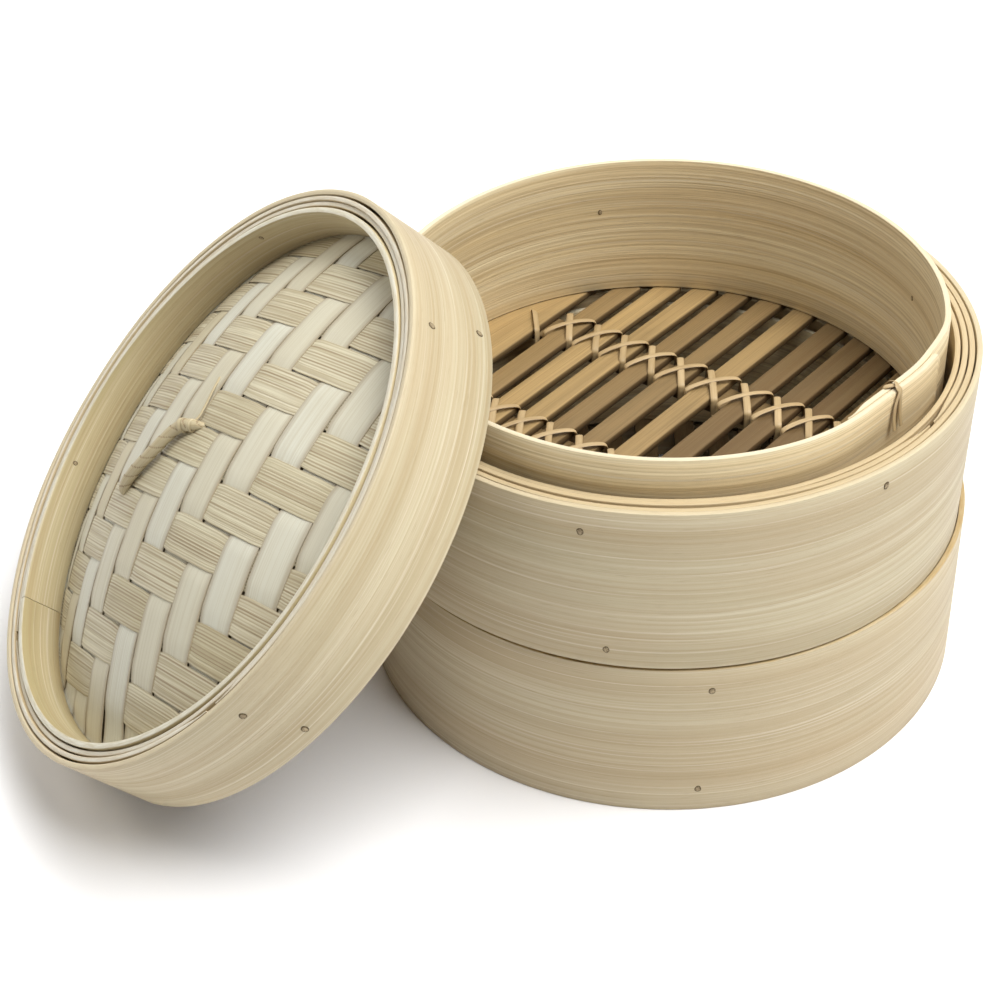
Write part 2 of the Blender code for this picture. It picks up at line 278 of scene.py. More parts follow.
def woven_bamboo(name, pale, deep, line, lines, depth):
    """Thin weaving strip, with fine darker lines along it; the handle's cane uses it too."""
    shader = Shader(name, 0.46)
    fibres = shader.stretched_noise(14.0, 1900.0, detail=3.0, rough=0.55)
    bands = shader.stretched_noise(9.0, 560.0, detail=3.0, shift=6.1)
    patches = shader.stretched_noise(30.0, 45.0, detail=3.0, shift=1.9)
    tone = shader.attribute("tone")
    base = shader.mix(tone, pale, deep)
    base = shader.veil(base, patches, 0.42, 0.72, 0.26, line)
    base = shader.veil(base, bands, 0.42, 0.70, lines * 0.5, line)
    base = shader.veil(base, fibres, 0.48, 0.62, lines, line)
    # Painted shade: the rim attribute darkens strip edges, rib grooves and undersides, the creases of
    # the handle's wrap and the ply under the weave.
    base = shader.mix(shader.attribute("rim"), base, (0.24, 0.165, 0.085))
    height = shader.maths("ADD", fibres, bands)
    return shader.finish(base, height, depth, shader.ramp(fibres, 0.3, 0.7, 0.40, 0.58))


def peg_bamboo():
    """End grain of a peg, browned round its edge."""
    shader = Shader("peg_bamboo", 0.7, specular=0.2)
    grain = shader.stretched_noise(1800.0, 1800.0, detail=3.0)
    base = shader.mix(shader.ramp(grain, 0.4, 0.65), (0.52, 0.42, 0.26), (0.16, 0.11, 0.06))
    base = shader.mix(shader.attribute("rim"), base, (0.07, 0.045, 0.02))
    return shader.finish(base, grain, 0.0002)


# ---------------------------------------------------------------- meshes

def smooth_step(value):
    value = min(max(value, 0.0), 1.0)
    return value * value * (3.0 - 2.0 * value)


class Sweep:
    """Quads between successive closed sections, capped at both ends unless it closes on itself."""

    def __init__(self):
        self.points = []
        self.faces = []
        self.uvs = []
        self.rims = []
        self.tones = []

    def add(self, sections, lengths, rims, tone=0.5, closed=False, shift=(0.0, 0.0)):
        """sections: one list of points each; lengths: distance along, with one more at the end when
        closed; rims: 0 to 1 for each point, as one list for every section or a list of such lists."""
        start = len(self.points)
        count = len(sections[0])
        for i, section in enumerate(sections):
            self.points.extend(section)
            self.rims.extend(rims[i] if isinstance(rims[0], list) else rims)
            self.tones.extend([tone] * count)
        middle = sections[len(sections) // 2]
        across = [0.0]
        for k in range(count):
            across.append(across[-1] + (middle[(k + 1) % count] - middle[k]).length)
        rings = len(sections)
        last = rings if closed else rings - 1
        for i in range(last):
            j = (i + 1) % rings
            along = (lengths[i], lengths[i + 1])
            for k in range(count):
                m = (k + 1) % count
                self.faces.append((start + i * count + k, start + j * count + k,
                                   start + j * count + m, start + i * count + m))
                low = across[k] + shift[1]
                high = across[k + 1] + shift[1]
                self.uvs.extend(((along[0] + shift[0], low), (along[1] + shift[0], low),
                                 (along[1] + shift[0], high), (along[0] + shift[0], high)))
        if not closed:
            for i, flip in ((0, True), (rings - 1, False)):
                ring = [start + i * count + k for k in range(count)]
                if flip:
                    ring.reverse()
                self.faces.append(tuple(ring))
                self.uvs.extend([(lengths[i] + shift[0], shift[1] + 0.001 * k) for k in range(count)])

    def build(self, name, place, finish, sharp=40.0):
        mesh = bpy.data.meshes.new(name)
        mesh.from_pydata([place @ point for point in self.points], [], self.faces)
        layer = mesh.uv_layers.new(name="UVMap")
        layer.data.foreach_set("uv", np.array(self.uvs, np.float32).ravel())
        for label, values in (("rim", self.rims), ("tone", self.tones)):
            made = mesh.attributes.new(label, "FLOAT", "POINT")
            made.data.foreach_set("value", np.array(values, np.float32))
        bm = bmesh.new()
        bm.from_mesh(mesh)
        bmesh.ops.recalc_face_normals(bm, faces=bm.faces)
        bm.to_mesh(mesh)
        bm.free()
        mesh.shade_smooth()
        mesh.set_sharp_from_angle(angle=math.radians(sharp))
        mesh.materials.append(finish)
        made = bpy.data.objects.new(name, mesh)
        bpy.context.scene.collection.objects.link(made)
        return made


def hold(made, body, slot, *nodes):
    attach(made, body)
    if nodes:
        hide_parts(*nodes)
    return made


def wander(angle, seed, coarse=1.0):
    """Smooth value in about [-1, 1] that closes on itself round the drum."""
    spot = Vector((math.cos(angle) * coarse, math.sin(angle) * coarse, seed * 7.31))
    return 1.6 * noise.noise(spot)


def strip_section(angle, outer, inner, bottom, top, seed, rows=5, draw_in=0.0):
    """One section of a bent strip: outer face, top edge, inner face, bottom edge.

    draw_in is how far the strip leans in at its bottom."""
    ease = min(RIM_ROUND, 0.45 * (outer - inner))
    small = ease * 0.3
    pairs = []
    for row in range(rows + 1):
        pairs.append((outer, bottom + ease + (top - bottom - 2 * ease) * row / rows))
    pairs += [(outer - small, top - small), (outer - ease, top), (inner + ease, top),
              (inner + small, top - small)]
    for row in range(rows, -1, -1):
        pairs.append((inner, bottom + ease + (top - bottom - 2 * ease) * row / rows))
    pairs += [(inner + small, bottom + small), (inner + ease, bottom), (outer - ease, bottom),
              (outer - small, bottom + small)]
    c, s = math.cos(angle), math.sin(angle)
    section = []
    for radius, height in pairs:
        spot = Vector((c * radius * 22.0, s * radius * 22.0, height * 30.0 + seed * 3.7))
        radius += 0.00010 * noise.noise(spot) - draw_in * (top - height) / (top - bottom)
        section.append(Vector((radius * c, radius * s, height)))
    return section


def strip_rims(rows=5):
    face = [0.0] * (rows + 1)
    edge = [0.75, 1.0, 1.0, 0.75]
    return face + edge + face + edge


def bent_strip(name, outer, thick, bottom, top, finish, place, seed, start=None, sweep=360.0,
               scarf=0.0, wave=0.0002, lean=None, rise=None):
    """A strip bent round the drum. Without a start it is one closed ring; with one it has two ends.

    scarf is the length in degrees over which each end thins; lean and rise give by angle how far its
    bottom leans in and how far its bottom edge stands off the tier below."""
    sweep_mesh = Sweep()
    closed = start is None
    begin = HOOP_SEAM if closed else start
    steps = max(24, int(ROUND_STEPS * sweep / 360.0))
    count = steps if closed else steps + 1
    degrees = [begin + sweep * i / steps for i in range(count)]
    sections = []
    lengths = []
    for i, degree in enumerate(degrees):
        angle = math.radians(degree)
        out = outer + wave * wander(angle, seed, 1.3)
        depth = thick
        high = top + 0.00022 * wander(angle, seed + 40, 2.2)
        low = bottom + (rise(degree) if rise else 0.0)
        if not closed and scarf:
            left = min(degree - begin, begin + sweep - degree)
            depth = max(0.0005, thick * smooth_step(0.25 + 0.75 * left / scarf))
        draw_in = lean(degree) if lean else 0.0
        sections.append(strip_section(angle, out, out - depth, low, high, seed, draw_in=draw_in))
        lengths.append(angle * outer)
    lengths.append(math.radians(begin + sweep) * outer)
    shift = (seed * 0.731, seed * 0.217)
    sweep_mesh.add(sections, lengths, strip_rims(), closed=closed, shift=shift)
    return sweep_mesh.build(name, place, finish)


def rotation_frames(points, first_normal):
    """Directions along a path, with normals that turn as little as they can."""
    tangents = []
    for i in range(len(points)):
        before = points[max(i - 1, 0)]
        after = points[min(i + 1, len(points) - 1)]
        tangents.append((after - before).normalized())
    normal = (first_normal - tangents[0] * first_normal.dot(tangents[0])).normalized()
    frames = [(tangents[0], normal)]
    for i in range(1, len(points)):
        normal = normal - tangents[i] * normal.dot(tangents[i])
        if normal.length < 1e-6:
            normal = frames[-1][1]
        normal = normal.normalized()
        frames.append((tangents[i], normal))
    return frames


def curve_through(knots, per_span=6):
    """Catmull-Rom points through the knots."""
    points = []
    for i in range(len(knots) - 1):
        before = knots[max(i - 1, 0)]
        a, b = knots[i], knots[i + 1]
        after = knots[min(i + 2, len(knots) - 1)]
        for step in range(per_span):
            t = step / per_span
            points.append(0.5 * (2 * a + (b - before) * t + (2 * before - 5 * a + 4 * b - after) * t * t
                                 + (3 * a - before - 3 * b + after) * t * t * t))
    points.append(knots[-1])
    return points


def cane_run(sweep_mesh, knots, width, thick, normal, shift, per_span=6):
    """A flat cane strand with a crowned face, swept through the knots."""
    points = curve_through([Vector(knot) for knot in knots], per_span)
    frames = rotation_frames(points, Vector(normal))
    sections = []
    lengths = [0.0]
    w = width / 2
    h = thick / 2
    outline = ((-w, 0.0), (-0.85 * w, 0.6 * h), (-0.45 * w, h), (0.0, 1.12 * h), (0.45 * w, h),
               (0.85 * w, 0.6 * h), (w, 0.0), (0.8 * w, -0.8 * h), (0.0, -h), (-0.8 * w, -0.8 * h))
    for i, (point, (along, up)) in enumerate(zip(points, frames)):
        side = along.cross(up)
        sections.append([point + side * x + up * y for x, y in outline])
        if i:
            lengths.append(lengths[-1] + (point - points[i - 1]).length)
    # Painted shade, darker on the strand's edges and underside.
    rims = [0.35, 0.1, 0.0, 0.0, 0.0, 0.1, 0.35, 0.5, 0.5, 0.5]
    sweep_mesh.add(sections, lengths, rims, shift=shift)


# ---------------------------------------------------------------- tiers

def slat_offsets():
    middle = (len(SLAT_SHIFTS) - 1) / 2
    return [(i - middle) * SLAT_SPACING + shift * MM for i, shift in enumerate(SLAT_SHIFTS)]


def bar_section(low, high, top, thick):
    """Outline of a split bar across its length: eased edges and a crowned top."""
    ease = 0.0004
    bottom = top - thick
    span = high - low
    return ((low, bottom + ease), (low, top - ease), (low + 0.3 * ease, top - 0.3 * ease),
            (low + ease, top), (low + 0.27 * span, top + 0.00008), (low + 0.5 * span, top + 0.00010),
            (low + 0.73 * span, top + 0.00008), (high - ease, top),
            (high - 0.3 * ease, top - 0.3 * ease), (high, top - ease), (high, bottom + ease),
            (high - ease, bottom), (low + ease, bottom))


# Painted shade on a split bar: none on its top, a little on its bevels, most on its sides and
# underside.
BAR_SIDE_SHADE = [1.0, 0.75, 0.35, 0.05, 0.0, 0.0, 0.0, 0.05, 0.35, 0.75, 1.0, 1.0, 1.0]


def wooden_bar(name, half_length, thick, centre, edges, finish, place, tone, seed, turned=False):
    """A split bamboo bar; edges gives its two sides at a distance along it."""
    bar = Sweep()
    sections = []
    lengths = []
    steps = 36
    for i in range(steps + 1):
        x = half_length * (2.0 * i / steps - 1.0)
        drift = 0.00022 * noise.noise(Vector((x * 18.0, seed * 3.3, 0.0)))
        swell = 0.00018 * noise.noise(Vector((x * 30.0, seed * 5.1, 4.0)))
        lift = 0.00012 * noise.noise(Vector((x * 25.0, seed * 2.7, 9.0))) - 0.0001
        low, high = edges(x)
        pairs = bar_section(low + drift - swell, high + drift + swell, thick / 2 + lift, thick)
        if turned:
            sections.append([Vector((centre[0] + y, centre[1] + x, centre[2] + z)) for y, z in pairs])
        else:
            sections.append([Vector((centre[0] + x, centre[1] + y, centre[2] + z)) for y, z in pairs])
        lengths.append(x)
    bar.add(sections, lengths, BAR_SIDE_SHADE, tone=tone, shift=(seed * 0.37, seed * 0.113))
    return bar.build(name, place, finish, sharp=55.0)


def slat_edges(offset, outermost):
    """Sides of a slat; the slat at either side of the floor is cut round to reach the drum."""
    inner = abs(offset) - SLAT_WIDTH / 2
    side = math.copysign(1.0, offset)

    def straight(x):
        return offset - SLAT_WIDTH / 2, offset + SLAT_WIDTH / 2

    def rounded(x):
        reach = math.sqrt((SLAT_END_RADIUS - 0.0003) ** 2 - x * x)
        return (inner, reach) if side > 0 else (-reach, -inner)

    return rounded if outermost else straight


def add_floor(prefix, body, floor, finishes, seed, shade_scale):
    """Slats, battens and lacing. shade_scale scales the tone of the wood as painted shade: the lower
    floor is painted darker than its bamboo is, so that the gaps above it look as deep as they do in the
    photo."""
    offsets = slat_offsets()
    for number, offset in enumerate(offsets, start=1):
        outermost = number in (1, len(offsets))
        edge = abs(offset) + SLAT_WIDTH / 2 - (SLAT_WIDTH - 0.0015 if outermost else 0.0)
        half = math.sqrt(SLAT_END_RADIUS ** 2 - edge ** 2) - 0.0003
        name = f"{prefix}_slat_{number:02d}"
        centre = (0.0, 0.0, SLAT_TOP - SLAT_THICK / 2)
        bar = wooden_bar(f"{name}_split", half, SLAT_THICK, centre, slat_edges(offset, outermost),
                         finishes["slat"], floor, SLAT_TONES_AND_SHADE[number - 1] * shade_scale, seed + number)
        hold(bar, body, "slat_bamboo", name)
    below = SLAT_TOP - SLAT_THICK - 0.0003 - 0.0015
    for label, along in zip("ab", BATTEN_PLACES):
        bar = wooden_bar(f"{prefix}_batten_{label}_split", BATTEN_LENGTH / 2, BATTEN_THICK,
                         (along, 0.0, below), lambda x: (-BATTEN_WIDTH / 2, BATTEN_WIDTH / 2),
                         finishes["slat"], floor, 0.30 * shade_scale, seed + 20 + along * 100, turned=True)
        hold(bar, body, "slat_bamboo", f"{prefix}_batten_{label}")
        lacing = Sweep()
        add_crossings(lacing, along, seed + (0 if label == "a" else 50))
        made = lacing.build(f"{prefix}_lacing_{label}_cane", floor, finishes["cane"], sharp=70.0)
        hold(made, body, "cane", f"{prefix}_lacing_{label}")


def add_crossings(lacing, along, seed):
    """Two strands that cross over each slat, go down between slats and back under the batten, and a
    strap from a hole in the outermost slat at each end."""
    offsets = slat_offsets()
    gaps = [(a + b) / 2 for a, b in zip(offsets, offsets[1:])]
    top = SLAT_TOP
    foot = top - 0.0066
    for k in range(1, len(offsets) - 1):
        first = gaps[k - 1] + 0.0012
        final = gaps[k] - 0.0012
        for hand, reach, crest in ((-1.0, 0.0072, 0.0010), (1.0, 0.0084, 0.0013)):
            jitter = 0.0008 * noise.noise(Vector((k * 1.7, seed * 0.9, hand)))
            go = along + hand * reach + jitter
            back = along - hand * reach + jitter
            knots = [(go, first, foot), (go, first - 0.0001, top - 0.0016)]
            for part, rise in ((0.04, 0.0002), (0.26, 0.75), (0.5, 1.0), (0.74, 0.75), (0.96, 0.0002)):
                lift = rise if rise < 0.01 else 0.0004 + rise * crest
                knots.append((go + (back - go) * part, first + (final - first) * part,
                              top + 0.0002 + lift))
            knots += [(back, final + 0.0001, top - 0.0016), (back, final, foot)]
            flow = Vector((go - back, first - final, 0.0))
            uneven = 0.0003 * noise.noise(Vector((k * 2.3, seed, hand * 4.0)))
            width = (0.0024 if hand < 0 else 0.0022) + uneven
            cane_run(lacing, knots, width, CANE_THICK, flow, (k * 0.19 + seed * 0.07, hand * 0.03))
        low = top - 0.0071
        for hand in (-1.0, 1.0):
            under = ((along + hand * 0.0078, final + 0.0002, foot + 0.0006),
                     (along + hand * 0.0072, final, low + 0.0001),
                     (along, final + 0.0012, low - 0.0004),
                     (along - hand * 0.0072, final + 0.0024, low + 0.0001),
                     (along - hand * 0.0078, final + 0.0022, foot + 0.0006))
            cane_run(lacing, under, 0.0018, CANE_THICK, (hand, 0.0, 0.0), (k * 0.23, hand * 0.05))
    for edge, gap, outside in ((offsets[0], gaps[0], -1.0), (offsets[-1], gaps[-1], 1.0)):
        hole = edge + outside * 0.0033
        mouth = gap + outside * 0.0012
        run = mouth - hole
        knots = ((along + 0.0006, hole, top - 0.0024), (along + 0.0005, hole, top - 0.0002),
                 (along - 0.0004, hole + 0.12 * run, top + 0.0007),
                 (along - 0.0040, hole + 0.48 * run, top + 0.0009),
                 (along - 0.0082, hole + 0.90 * run, top + 0.0006),
                 (along - 0.0092, mouth, top - 0.0010), (along - 0.0094, mouth, foot))
        cane_run(lacing, knots, 0.0023, CANE_THICK, (1.0, outside * 0.4, 0.0), (edge, 0.01))


def ring_push(degree):
    """The inner ring is drawn in where its lapped ends are tied, and bows out a little beside them."""
    off = (degree + 59.0) / 14.0
    bow = (degree + 108.0) / 34.0
    return 0.0008 * math.exp(-bow * bow) - 0.0028 * math.exp(-off * off)


def add_inner_ring(prefix, body, tier, finishes, hoop_height, seed):
    """One long strip that laps over its own beginning, with a rounded outer end."""
    def push(degree):
        round_degree = degree if degree < 180.0 else degree - 360.0
        shift = ring_push(round_degree)
        if degree < -26.0:
            shift -= (STRIP + 0.00025) * (1.0 - smooth_step((degree + 41.0) / 15.0))
        return shift

    sweep_mesh = Sweep()
    top = hoop_height + RING_STAND
    corner = 0.0032
    steps = 320
    sections = []
    lengths = []
    for i in range(steps + 1):
        degree = RING_BEGIN + (RING_END - RING_BEGIN) * i / steps
        angle = math.radians(degree)
        outer = RING_RADIUS + push(degree) + 0.00012 * wander(angle, seed + 5, 1.4)
        depth = STRIP
        lead = degree - RING_BEGIN
        if lead < 7.0:
            depth = max(0.0004, STRIP * smooth_step(0.12 + 0.88 * lead / 7.0))
        high = top - 0.00015 + 0.00012 * wander(angle, seed + 9, 2.0)
        left = math.radians(RING_END - degree) * RING_RADIUS
        if left < corner:
            high -= corner - math.sqrt(max(0.0, corner ** 2 - (corner - left) ** 2))
        sections.append(strip_section(angle, outer, outer - depth, CLAMP_HEIGHT, high, seed + 3.3))
        lengths.append(angle * RING_RADIUS)
    sweep_mesh.add(sections, lengths, strip_rims(), shift=(seed * 0.31, 0.4))
    made = sweep_mesh.build(f"{prefix}_inner_ring_strip", tier, finishes["ring"])
    hold(made, body, "ring_bamboo", f"{prefix}_inner_ring")


def add_lashing(prefix, body, tier, finishes, hoop_height):
    """Two turns of cane over the lapped ends of the ring; their feet tuck in beside the layers."""
    top = hoop_height + RING_STAND
    turn = tier @ Matrix.Rotation(math.radians(LASH_TURN), 4, "Z")
    outer = RING_RADIUS + ring_push(LASH_TURN) + 0.0004
    inner = outer - 2 * STRIP - 0.0009
    lash = Sweep()
    for foot, crown, landing, turns in ((0.0006, 0.0004, -0.0016, 0.0),
                                        (-0.0030, -0.0004, 0.0014, 1.0)):
        lift = 0.0004 + 0.0005 * turns
        knots = ((outer + 0.0013, foot, top - 0.0125), (outer + 0.0005, foot * 0.9, top - 0.0085),
                 (outer + 0.0002, foot * 0.6 + crown * 0.4, top - 0.004),
                 (outer + 0.0001, crown, top - 0.0007), (outer - 0.0007, crown, top + lift),
                 ((outer + inner) / 2, (crown + landing) / 2 + 0.0007, top + lift + 0.0003),
                 (inner + 0.0006, landing, top + lift * 0.7), (inner - 0.0002, landing, top - 0.0009),
                 (inner - 0.0003, landing, top - 0.005), (inner - 0.0003, landing * 0.5, top - 0.011))
        cane_run(lash, knots, 0.0017, CANE_THICK, (1.0, 0.0, 0.0), (turns * 0.4, 0.02))
    made = lash.build(f"{prefix}_ring_lashing_cane", turn, finishes["cane"], sharp=70.0)
    hold(made, body, "cane", f"{prefix}_ring_lashing")


def peg_head(name, degrees, height, radius, place, finish, body, size=PEG_SIZE, node=None,
             inward=False):
    """A peg seen end on: an uneven disc of end grain with a browned edge, just proud of the strip."""
    peg = Sweep()
    proud = 0.00025
    seed = abs(degrees) * 0.37 + height * 90.0
    sides = 18
    sections = []
    lengths = []
    sign = -1.0 if inward else 1.0
    rims = []
    stages = ((-0.0016, 1.0, 1.0), (0.2 * proud, 1.0, 1.0), (0.5 * proud, 0.90, 0.9),
              (0.9 * proud, 0.66, 0.25), (proud, 0.1, 0.0))
    for out, wide, rim in stages:
        ring = []
        for k in range(sides):
            angle = math.tau * k / sides
            c, s = math.cos(angle), math.sin(angle)
            uneven = 1.0 + 0.16 * noise.noise(Vector((c * 1.5, s * 1.5, seed)))
            ring.append(Vector((radius + sign * out, c * size * wide * uneven * 0.9,
                                height + s * size * wide * uneven * 1.1)))
        sections.append(ring)
        lengths.append(out + 0.002)
        rims.append([rim] * sides)
    peg.add(sections, lengths, rims, shift=(seed, seed * 0.7))
    made = peg.build(name, place @ Matrix.Rotation(math.radians(degrees), 4, "Z"), finish)
    hold(made, body, "peg_bamboo", *([node] if node else []))


def bump_round(degree, middle, spread):
    """A smooth bump of height 1 in the direction middle, between -180 and 180 degrees."""
    off = (degree % 360.0 + 180.0) % 360.0 - 180.0 - middle
    return math.exp(-(off / spread) ** 2)


def seat_lean(degree):
    """The upper hoops lean in a little on the side where the tier below shows its edge."""
    return 0.0016 * bump_round(degree, -12.0, 48.0)


def seat_gap(degree):
    """On the shaded side the upper hoop stands a hair off the tier below."""
    return 0.0008 * bump_round(degree, -138.0, 34.0)


def add_tier(prefix, floor_turn, finishes, seed):
    body = f"{prefix}_tier"
    is_upper = prefix == "upper"
    low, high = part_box(f"{prefix}_outer_hoop")
    tier = Matrix.Translation(((low.x + high.x) / 2, (low.y + high.y) / 2, low.z))
    height = high.z - low.z
    radius = (high.x - low.x) / 2

    def leaning(share):
        return (lambda degree: share * seat_lean(degree)) if is_upper and share else None

    outer = bent_strip(f"{prefix}_outer_hoop_strip", radius - 0.0002, STRIP, 0.0001,
                       height - 0.00015, finishes["hoop" if is_upper else "lower_hoop"], tier, seed,
                       wave=0.00012, lean=leaning(1.0), rise=seat_gap if is_upper else None)
    hold(outer, body, "hoop_bamboo", f"{prefix}_outer_hoop")
    layers = ((2, 0.0, -0.0006, 128.0, 14.0, 0.7), (3, 0.0, -0.0002, -52.0, 10.0, 0.35),
              (4, CLAMP_HEIGHT, -0.0008, 60.0, 12.0, 0.0))
    for layer, bottom, drop, start, scarf, share in layers:
        out = radius - (layer - 1) * LAYER_STEP - 0.00015
        made = bent_strip(f"{prefix}_hoop_layer_{layer}_strip", out, STRIP - 0.0001, bottom + 0.0001,
                          height + drop, finishes["layer"], tier, seed + layer, start=start,
                          sweep=358.5, scarf=scarf, wave=0.00022, lean=leaning(share))
        hold(made, body, "hoop_bamboo", f"{prefix}_hoop_layer_{layer}")
    out = radius - 3 * LAYER_STEP
    made = bent_strip(f"{prefix}_floor_ring_strip", out, FLOOR_RING_THICK, 0.0001,
                      FLOOR_RING_TOP - 0.0001, finishes["layer"], tier, seed + 8, start=150.0,
                      sweep=359.0, scarf=8.0, wave=0.0001)
    hold(made, body, "hoop_bamboo", f"{prefix}_floor_ring")
    add_inner_ring(prefix, body, tier, finishes, height, seed)
    add_lashing(prefix, body, tier, finishes, height)
    floor = tier @ Matrix.Rotation(floor_turn, 4, "Z")
    add_floor(prefix, body, floor, finishes, seed, 1.0 if is_upper else LOWER_FLOOR_SHADE)
    return tier, radius


def add_tier_pegs(prefix, tier, radius, finishes, pegs):
    for name, degrees, height, node in pegs:
        peg_head(name, degrees, height, radius - 0.00025, tier, finishes["peg"], f"{prefix}_tier",
                 node=node)


# ---------------------------------------------------------------- lid

def cover_height(x, y):
    """Middle of the woven sheet above the lid's mouth."""
    return COVER_EDGE + COVER_RISE * (1.0 - min(math.hypot(x, y) / COVER_SPRING_RADIUS, 1.0) ** 2)


def weave_wave(phase):
    """+1 where the strip is on top for two cells, -1 where it is under for the next two."""
    phase %= 4.0
    ramp = 0.34
    if phase > 2.0:
        return -weave_wave(phase - 2.0)
    rise = smooth_step((phase + ramp) / (2 * ramp)) * 2.0 - 1.0
    fall = smooth_step((2.0 - phase + ramp) / (2 * ramp)) * 2.0 - 1.0
    return min(rise, fall)


def strip_painted_shade(columns, smooth, seed, run):
    """Painted shade: dark edges on both kinds of strip, dark grooves between the ribs of the ribbed
    kind, and a darker underside.
    """
    top = []
    for c in range(columns + 1):
        if c in (0, columns):
            top.append(0.55)
        elif smooth or c % 2:
            top.append(0.0)
        else:
            groove = 0.52 + 0.80 * noise.noise(Vector((seed, c * 3.7, run * 14.0)))
            top.append(min(0.95, max(0.1, groove)))
    return top + [0.5] + [0.2] * (columns - 1) + [0.5]


def weaving_strip(name, lane, smooth, lid, finish, tone):
    """One strip of the cover, over two and under two, cut off where the rings clamp it."""
    along_turn, across_turn = (SMOOTH_TURN, RIBBED_TURN) if smooth else (RIBBED_TURN, SMOOTH_TURN)
    along = Vector((math.cos(along_turn), math.sin(along_turn)))
    across = Vector((math.cos(across_turn), math.sin(across_turn)))
    lane_pitch, lane_start = (SMOOTH_PITCH, SMOOTH_START) if smooth else (RIBBED_PITCH, RIBBED_START)
    cell_pitch, cell_start = (RIBBED_PITCH, RIBBED_START) if smooth else (SMOOTH_PITCH, SMOOTH_START)
    seed = lane * 1.37 + (50.0 if smooth else 0.0)
    centre = lane_start + (lane + 0.5) * lane_pitch + 0.00025 * noise.noise(Vector((seed, 0.0, 3.0)))
    width = lane_pitch * (0.955 if smooth else 0.950) + 0.0003 * noise.noise(Vector((seed, 5.0, 0.0)))
    columns = 6 if smooth else 26
    rows = 150
    skew = along.dot(across)
    lengths = []
    lateral = [-0.5 + c / columns for c in range(columns + 1)]
    spans = []
    for side in lateral:
        offset = centre + side * width
        base = offset * skew
        room = COVER_CLAMPED_RADIUS ** 2 - offset * offset * (1.0 - skew * skew)
        if room <= 0.0:
            return None
        spans.append((-base - math.sqrt(room), -base + math.sqrt(room)))
    if min(high - low for low, high in spans) < 0.012:
        return None
    upper = []
    under = []
    for r in range(rows + 1):
        part = r / rows
        line_top = []
        line_low = []
        for c, side in enumerate(lateral):
            low, high = spans[c]
            run = low + (high - low) * part
            cell = (run - cell_start) / cell_pitch
            phase = cell + lane if smooth else cell + lane - 2.0
            wave = weave_wave(phase)
            squeeze = 0.05 + 0.03 * noise.noise(Vector((seed, run * 90.0, 1.0)))
            pinch = 1.0 - squeeze * (1.0 - abs(wave))
            sway = 0.00022 * noise.noise(Vector((seed, run * 25.0, 8.0)))
            offset = centre + side * width * pinch + sway
            flat = across * offset + along * run
            reach = flat.length
            lift = WEAVE_LIFT * wave * smooth_step((COVER_CLAMPED_RADIUS - reach) / 0.006)
            crown = 0.00012 * (1.0 - (2 * side) ** 2)
            if not smooth and c % 2:
                crown += RIB_HEIGHT
            level = cover_height(flat.x, flat.y) + lift + crown
            line_top.append(Vector((flat.y, -flat.x, level + WEAVE_THICK / 2)))
            line_low.append(Vector((flat.y, -flat.x, level - crown - WEAVE_THICK / 2)))
        upper.append(line_top)
        under.append(line_low)
        lengths.append(part * (spans[columns // 2][1] - spans[columns // 2][0]))
    sections = [top_line + low_line[::-1] for top_line, low_line in zip(upper, under)]
    rims = [strip_painted_shade(columns, smooth, seed, run) for run in lengths]
    strip = Sweep()
    strip.add(sections, lengths, rims, tone=tone, shift=(seed * 0.43, seed * 0.19))
    return strip.build(name, lid, finish, sharp=50.0)


def shade_sheet_strip(name, lane, lid, finish):
    """A broad thin strip of a ply under the weave, painted dark as shade so that it closes the weave's
    slits.
    """
    pitch = 2 * COVER_CLAMPED_RADIUS / SHADE_SHEET_STRIPS
    turn = (RIBBED_TURN + SMOOTH_TURN) / 2
    along = Vector((math.cos(turn), math.sin(turn)))
    across = Vector((-along.y, along.x))
    low = -COVER_CLAMPED_RADIUS + lane * pitch
    columns = 8
    rows = 60
    sections = []
    lengths = []
    for r in range(rows + 1):
        upper = []
        under = []
        for c in range(columns + 1):
            offset = low + pitch * (0.004 + 0.992 * c / columns)
            room = math.sqrt(max(COVER_CLAMPED_RADIUS ** 2 - offset * offset, 4e-6))
            flat = across * offset + along * (room * (2.0 * r / rows - 1.0))
            level = cover_height(flat.x, flat.y)
            level -= SHADE_SHEET_DROP * smooth_step((COVER_CLAMPED_RADIUS - flat.length) / 0.004)
            upper.append(Vector((flat.y, -flat.x, level - 0.0002)))
            under.append(Vector((flat.y, -flat.x, level - 0.00035)))
        sections.append(upper + under[::-1])
        lengths.append(2 * COVER_CLAMPED_RADIUS * r / rows)
    strip = Sweep()
    # Painted shade: the rim attribute darkens the whole ply.
    strip.add(sections, lengths, [0.85] * (2 * columns + 2), tone=0.9, shift=(lane * 0.41, lane * 0.13))
    return strip.build(name, lid, finish, sharp=50.0)


def add_cover(lid, finishes):
    for lane in range(-8, 8):
        for smooth in (True, False):
            kind = "smooth" if smooth else "ribbed"
            spot = Vector((lane * 2.9 + 0.35, 4.3 if smooth else 11.6, 0.5))
            tone = min(1.0, max(0.0, 0.42 + 1.3 * noise.noise(spot)))
            name = f"lid_cover_{kind}_strip_{lane + 9:02d}"
            strip = weaving_strip(name, lane, smooth, lid, finishes[kind], tone)
            if strip:
                hold(strip, "lid", "woven_bamboo")
    for lane in range(SHADE_SHEET_STRIPS):
        strip = shade_sheet_strip(f"lid_cover_shade_sheet_strip_{lane + 1}", lane, lid, finishes["ribbed"])
        hold(strip, "lid", "woven_bamboo")
    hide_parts("lid_woven_cover")


